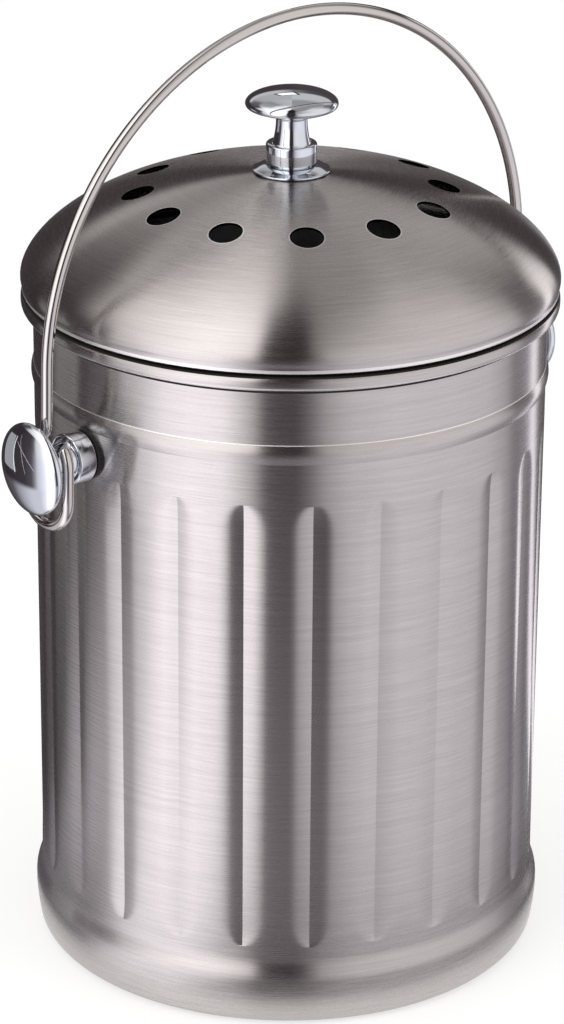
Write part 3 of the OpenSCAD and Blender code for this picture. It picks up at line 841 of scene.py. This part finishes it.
# Brightness of the tent by azimuth from the camera in degrees, left to right, listed and
# tuned by brightness against the photo. The floor goes
# out from the pail's foot over white paper to the floor beyond it; above it come the wall, its
# brow, an arch over the dim room behind, the slope and the roof.
tentBands = {
    "foot": [(-180, 0.22), (-150, 0.16), (-120, 0.16), (-98, 0.24), (-84, 0.16), (-70, 0.12),
             (-63, 0.32), (-54, 1.05), (-44, 1.25), (-32, 1.15), (-20, 0.48), (-9, 0.07),
             (4, 0.05), (11, 0.16), (20, 0.26), (45, 0.28), (72, 0.20), (90, 0.06), (112, 0.05),
             (130, 0.10), (165, 0.25)],
    "paper": [(-180, 0.45), (-164, 0.12), (-150, 0.10), (-124, 0.06), (-108, 0.12), (-96, 0.46),
             (-84, 0.72), (-72, 0.74), (-62, 1.05), (-54, 1.50), (-42, 1.60), (-28, 1.40),
             (-18, 0.75), (-9, 0.32), (3, 0.30), (9, 0.38), (15, 0.52), (26, 0.80), (45, 0.92),
             (78, 0.78), (98, 0.46), (112, 0.26), (127, 0.24), (129, 1.60), (135, 1.60),
             (137, 0.20), (158, 0.15), (163, 0.90), (170, 0.30)],
    "floor": [(-180, 0.50), (-172, 0.30), (-164, 0.06), (-112, 0.03), (-90, 0.05), (-82, 0.10),
             (-78, 0.34), (-74, 0.74), (-66, 0.98), (-60, 1.18), (-54, 1.50), (-42, 1.62),
             (-28, 1.45), (-17, 0.60), (-10, 0.05), (3, 0.03), (9, 0.22), (15, 0.50), (26, 0.82),
             (45, 0.96), (92, 0.92), (106, 0.66), (112, 0.34), (127, 0.30), (129, 1.60),
             (135, 1.60), (137, 0.15), (158, 0.10), (163, 0.90), (170, 0.20)],
    "wall": [(-180, 0.05), (-104, 0.03), (-84, 0.06), (-79, 0.16), (-74, 0.78), (-66, 1.00),
             (-60, 1.25), (-40, 1.65), (-24, 1.60), (-15, 1.30), (-11.5, 0.12), (-8, 0.03),
             (7, 0.03), (11, 0.25), (16, 0.75), (30, 0.92), (92, 0.88), (103, 0.66), (109, 0.20),
             (125, 0.16), (129, 1.30), (141, 1.30), (145, 0.06)],
    "brow": [(-180, 0.30), (-176, 0.60), (-148, 0.62), (-142, 0.20), (-136, 0.08), (-112, 0.06),
             (-104, 0.25), (-98, 0.60), (-80, 0.95), (-60, 1.45), (-36, 1.80), (-15, 1.50),
             (-11.5, 0.06), (7, 0.03), (11, 0.40), (36, 0.80), (67, 0.90), (94, 0.84),
             (106, 0.40), (114, 0.10), (150, 0.06), (174, 0.08), (179, 0.20)],
    "arch": [(-180, 0.52), (-156, 0.46), (-146, 0.16), (-112, 0.08), (-104, 0.35), (-98, 0.85),
             (-80, 1.15), (-60, 1.50), (-36, 1.85), (-15, 1.55), (-11.5, 0.05), (7, 0.03),
             (11, 0.34), (36, 0.68), (67, 0.90), (94, 0.92), (108, 0.48), (118, 0.16),
             (131, 0.24), (138, 0.58), (165, 0.62)],
    "slope": [(-180, 0.60), (-165, 0.50), (-158, 0.32), (-136, 0.40), (-118, 0.55), (-108, 0.95),
             (-97, 1.20), (-67, 1.50), (-36, 1.75), (-16, 1.45), (-13, 0.02), (10, 0.02),
             (15, 0.34), (36, 0.56), (50, 0.68), (67, 0.84), (97, 0.80), (115, 0.50),
             (136, 0.30), (160, 0.36)],
    "roof": [(-180, 0.55), (-172, 0.74), (-165, 0.95), (-135, 1.05), (-70, 1.30), (-30, 1.40),
             (-26, 1.05), (-19, 0.02), (18, 0.02), (27, 0.26), (70, 0.34), (135, 0.32),
             (175, 0.50)],
}
tent = {
    "middle": 0.22,         # m, the height that elevations are measured from
    "peak": 2.0,
    "paperFrom": (0.105, 0.17),  # m from the axis over which one band fades into the next
    "floorFrom": (0.40, 0.46),
    "wallFrom": (-8, 0),        # degrees of elevation, likewise
    "browFrom": (20, 24),
    "archFrom": (27, 31),
    "slopeFrom": (42, 50),
    "roofFrom": (62, 72),
    "floorTint": (1.0, 0.985, 1.05),
    "upperTint": (1.02, 1.0, 0.985),
    "veil": (0.005, 0.0, 0.002),
    # Radius and height in metres, from the floor round the pail's foot up to the crown.
    "walls": [(0.1, 0.001), (0.6, 0.004), (1.0, 0.05), (1.25, 0.2), (1.4, 0.5), (1.4, 0.9),
              (1.2, 1.3), (0.8, 1.6), (0.4, 1.72), (0, 1.75)],
}
# Things in the room that only the chrome shows: a window behind in its dark frame, a grey
# board to the left and the thin edges of stands. Degrees, metres and brightness.
roomCards = [
    {"name": "windowFrame", "azimuth": 182, "elevation": 29, "reach": 1.21,
     "wide": 0.17, "tall": 0.14, "lean": 20, "glow": 0.02},
    {"name": "windowPane", "azimuth": 182, "elevation": 29, "reach": 1.20,
     "wide": 0.13, "tall": 0.10, "lean": 20, "glow": 1.5},
    {"name": "greyBoard", "azimuth": -111, "elevation": -20.5, "reach": 0.60,
     "wide": 0.19, "tall": 0.235, "lean": 4, "glow": 0.40},
    {"name": "boardEdge", "azimuth": -101, "elevation": -20.5, "reach": 0.59,
     "wide": 0.008, "tall": 0.25, "lean": -3, "glow": 1.2},
    {"name": "standRail", "azimuth": -88, "elevation": -19, "reach": 0.58,
     "wide": 0.22, "tall": 0.004, "lean": -30, "glow": 0.8},
    {"name": "standPost", "azimuth": -92, "elevation": -16, "reach": 0.57,
     "wide": 0.004, "tall": 0.25, "lean": 14, "glow": 0.7},
]

# Degrees from the camera, metres and watts.
lamps = [
    {"name": "keyLamp", "azimuth": -45, "reach": 1.6, "height": 1.2,
     "wide": 1.2, "tall": 1.4, "power": 12},
    {"name": "fillLamp", "azimuth": 60, "reach": 1.8, "height": 1.2,
     "wide": 1.2, "tall": 1.4, "power": 8},
    {"name": "topLamp", "azimuth": 0, "reach": 0.2, "height": 2.2,
     "wide": 1.8, "tall": 1.8, "power": 14},
]


# A point at an azimuth from the camera, a reach from the axis and a height, in metres.
def spotAt(azimuth, reach, height):
    turn = math.radians(studio["cameraAzimuth"] + azimuth)
    return Vector((math.sin(turn) * reach, -math.cos(turn) * reach, height))


def makeCamera():
    s = studio
    data = bpy.data.cameras.new("camera")
    data.sensor_fit = "VERTICAL"
    data.sensor_height = s["sensor"]
    data.lens = s["sensor"] * s["focalPixels"] / s["framePixels"]
    data.clip_start = 0.05
    camera = bpy.data.objects.new("camera", data)
    turn = math.radians(s["cameraAzimuth"])
    spot = spotAt(0, s["cameraReach"], s["cameraHeight"])
    camera.matrix_world = (Matrix.Translation(spot)
                           @ Matrix.Rotation(turn - math.radians(s["cameraYaw"]), 4, "Z")
                           @ Matrix.Rotation(math.radians(90 - s["cameraPitch"]), 4, "X")
                           @ Matrix.Rotation(math.radians(s["cameraRoll"]), 4, "Z"))
    bpy.context.scene.collection.objects.link(camera)
    bpy.context.scene.camera = camera


# One for the rays that show the background: the camera's, reflected and transmitted ones.
def backgroundRays(tree):
    path = addNode(tree, "ShaderNodeLightPath")
    seen = addNode(tree, "ShaderNodeMath", {0: (path, "Is Camera Ray"), 1: (path, "Is Glossy Ray")},
                   operation="MAXIMUM")
    return addNode(tree, "ShaderNodeMath", {0: (seen, 0), 1: (path, "Is Transmission Ray")},
                   operation="MAXIMUM")


# Left to reflections: nothing else sees the piece or is lit or shaded by it.
def showInGlossOnly(piece):
    piece.visible_camera = False
    piece.visible_diffuse = False
    piece.visible_shadow = False
    piece.visible_transmission = False


def makeFloor():
    bm = bmesh.new()
    bmesh.ops.create_grid(bm, x_segments=1, y_segments=1, size=6.0)
    material, tree = newMaterial("palePaper")
    share = addNode(tree, "ShaderNodeMath",
                    {0: (backgroundRays(tree), 0), 1: studio["floorGlow"]}, operation="MULTIPLY")
    paper = addNode(tree, "ShaderNodeBsdfDiffuse", {"Color": hexToLinear(studio["floor"])})
    glow = addNode(tree, "ShaderNodeEmission", {"Color": hexToLinear("FFFFFF"), "Strength": 1.0})
    shader = addNode(tree, "ShaderNodeMixShader", {0: (share, 0), 1: (paper, 0), 2: (glow, 0)})
    addNode(tree, "ShaderNodeOutputMaterial", {"Surface": (shader, 0)})
    floor = addObject("floor", bm, material)


def makeWorld():
    world = bpy.data.worlds.new("surround")
    bpy.context.scene.world = world
    world.use_nodes = True
    tree = world.node_tree
    tree.nodes.clear()
    strength = addNode(tree, "ShaderNodeMapRange",
                       {"Value": (backgroundRays(tree), 0), "To Min": studio["fillStrength"],
                        "To Max": 1.0})
    light = addNode(tree, "ShaderNodeBackground",
                    {"Color": hexToLinear(studio["surround"]), "Strength": (strength, 0)})
    addNode(tree, "ShaderNodeOutputWorld", {"Surface": (light, 0)})


# A rectangular soft lamp at an azimuth from the camera, aimed at the pail.
def addLamp(name, azimuth, reach, height, wide, tall, power):
    data = bpy.data.lights.new(name, "AREA")
    data.shape = "RECTANGLE"
    data.size = wide
    data.size_y = tall
    data.energy = power
    lamp = bpy.data.objects.new(name, data)
    spot = spotAt(azimuth, reach, height)
    aim = (Vector((0, 0, studio["aimHeight"])) - spot).to_track_quat("-Z", "Y")
    lamp.matrix_world = Matrix.Translation(spot) @ aim.to_matrix().to_4x4()
    lamp.visible_glossy = False
    bpy.context.scene.collection.objects.link(lamp)


# A band's brightness round the tent, as a share of the peak.
def tentRamp(tree, around, band):
    node = addNode(tree, "ShaderNodeValToRGB", {0: (around, 0)})
    rampStops(node, [(azimuth / 360 + 0.5, value / tent["peak"])
                     for azimuth, value in tentBands[band]])
    return node


# A mix of two colours whose share runs from none to all as a measure goes across a span.
def tentFade(tree, measure, span, lower, upper):
    share = addNode(tree, "ShaderNodeMapRange",
                    {"Value": measure, "From Min": span[0], "From Max": span[1]},
                    interpolation_type="SMOOTHSTEP")
    return addNode(tree, "ShaderNodeMix", {0: (share, 0), 6: lower, 7: upper}, data_type="RGBA")


def makeTentPaint():
    material, tree = newMaterial("tentGlow")
    t = tent
    place = addNode(tree, "ShaderNodeTexCoord")
    turned = addNode(tree, "ShaderNodeVectorRotate",
                     {"Vector": (place, "Object"), "Angle": -math.radians(studio["cameraAzimuth"])},
                     rotation_type="Z_AXIS")
    axes = addNode(tree, "ShaderNodeSeparateXYZ", {0: (turned, 0)})
    back = addNode(tree, "ShaderNodeMath", {0: (axes, 1), 1: -1.0}, operation="MULTIPLY")
    azimuth = addNode(tree, "ShaderNodeMath", {0: (axes, 0), 1: (back, 0)}, operation="ARCTAN2")
    around = addNode(tree, "ShaderNodeMapRange",
                     {"Value": (azimuth, 0), "From Min": -math.pi, "From Max": math.pi})
    flat = addNode(tree, "ShaderNodeCombineXYZ", {0: (axes, 0), 1: (axes, 1)})
    reach = addNode(tree, "ShaderNodeVectorMath", {0: (flat, 0)}, operation="LENGTH")
    lift = addNode(tree, "ShaderNodeMath", {0: (axes, 2), 1: t["middle"]}, operation="SUBTRACT")
    height = addNode(tree, "ShaderNodeMath", {0: (lift, 0), 1: (reach, "Value")},
                     operation="ARCTAN2")
    degrees = addNode(tree, "ShaderNodeMath", {0: (height, 0)}, operation="DEGREES")
    colour = (tentRamp(tree, around, "foot"), 0)
    for band in ("paper", "floor", "wall", "brow", "arch", "slope", "roof"):
        measure = (reach, "Value") if band in ("paper", "floor") else (degrees, 0)
        upper = (tentRamp(tree, around, band), 0)
        colour = (tentFade(tree, measure, t[band + "From"], colour, upper), 2)
    tint = tentFade(tree, (degrees, 0), t["wallFrom"], (*t["floorTint"], 1), (*t["upperTint"], 1))
    tinted = addNode(tree, "ShaderNodeVectorMath", {0: colour, 1: (tint, 2)},
                     operation="MULTIPLY")
    lit = addNode(tree, "ShaderNodeVectorMath", {0: (tinted, 0), 1: t["veil"]}, operation="ADD")
    shader = addNode(tree, "ShaderNodeEmission", {"Color": (lit, 0), "Strength": t["peak"]})
    addNode(tree, "ShaderNodeOutputMaterial", {"Surface": (shader, 0)})
    return material


def makeTent():
    bm = bmesh.new()
    corners = [bm.verts.new((r, 0, z)) for r, z in tent["walls"]]
    edges = [bm.edges.new(pair) for pair in zip(corners, corners[1:])]
    bmesh.ops.spin(bm, geom=corners + edges, cent=(0, 0, 0), axis=(0, 0, 1),
                   angle=math.tau, steps=96, use_merge=True)
    piece = addObject("tent", bm, makeTentPaint())
    showInGlossOnly(piece)


def makeRoomCard(card):
    rise = math.radians(card["elevation"])
    ahead = spotAt(card["azimuth"], math.cos(rise), math.sin(rise))
    face = (Matrix.Translation(Vector((0, 0, studio["cardHeight"])) + ahead * card["reach"])
            @ ahead.to_track_quat("Z", "Y").to_matrix().to_4x4()
            @ Matrix.Rotation(math.radians(card["lean"]), 4, "Z"))
    bm = bmesh.new()
    bmesh.ops.create_grid(bm, x_segments=1, y_segments=1, size=0.5)
    bmesh.ops.scale(bm, vec=(card["wide"], card["tall"], 1), verts=bm.verts)
    bmesh.ops.transform(bm, verts=bm.verts, matrix=face)
    material, tree = newMaterial(card["name"])
    light = addNode(tree, "ShaderNodeEmission",
                    {"Color": hexToLinear("FFFFFF"), "Strength": card["glow"]})
    addNode(tree, "ShaderNodeOutputMaterial", {"Surface": (light, 0)})
    piece = addObject(card["name"], bm, material)
    showInGlossOnly(piece)


makeCamera()
makeFloor()
makeWorld()
makeTent()
for roomCard in roomCards:
    makeRoomCard(roomCard)
for lamp in lamps:
    addLamp(**lamp)
print("studio made")

bpy.context.scene.view_settings.view_transform = "Standard"
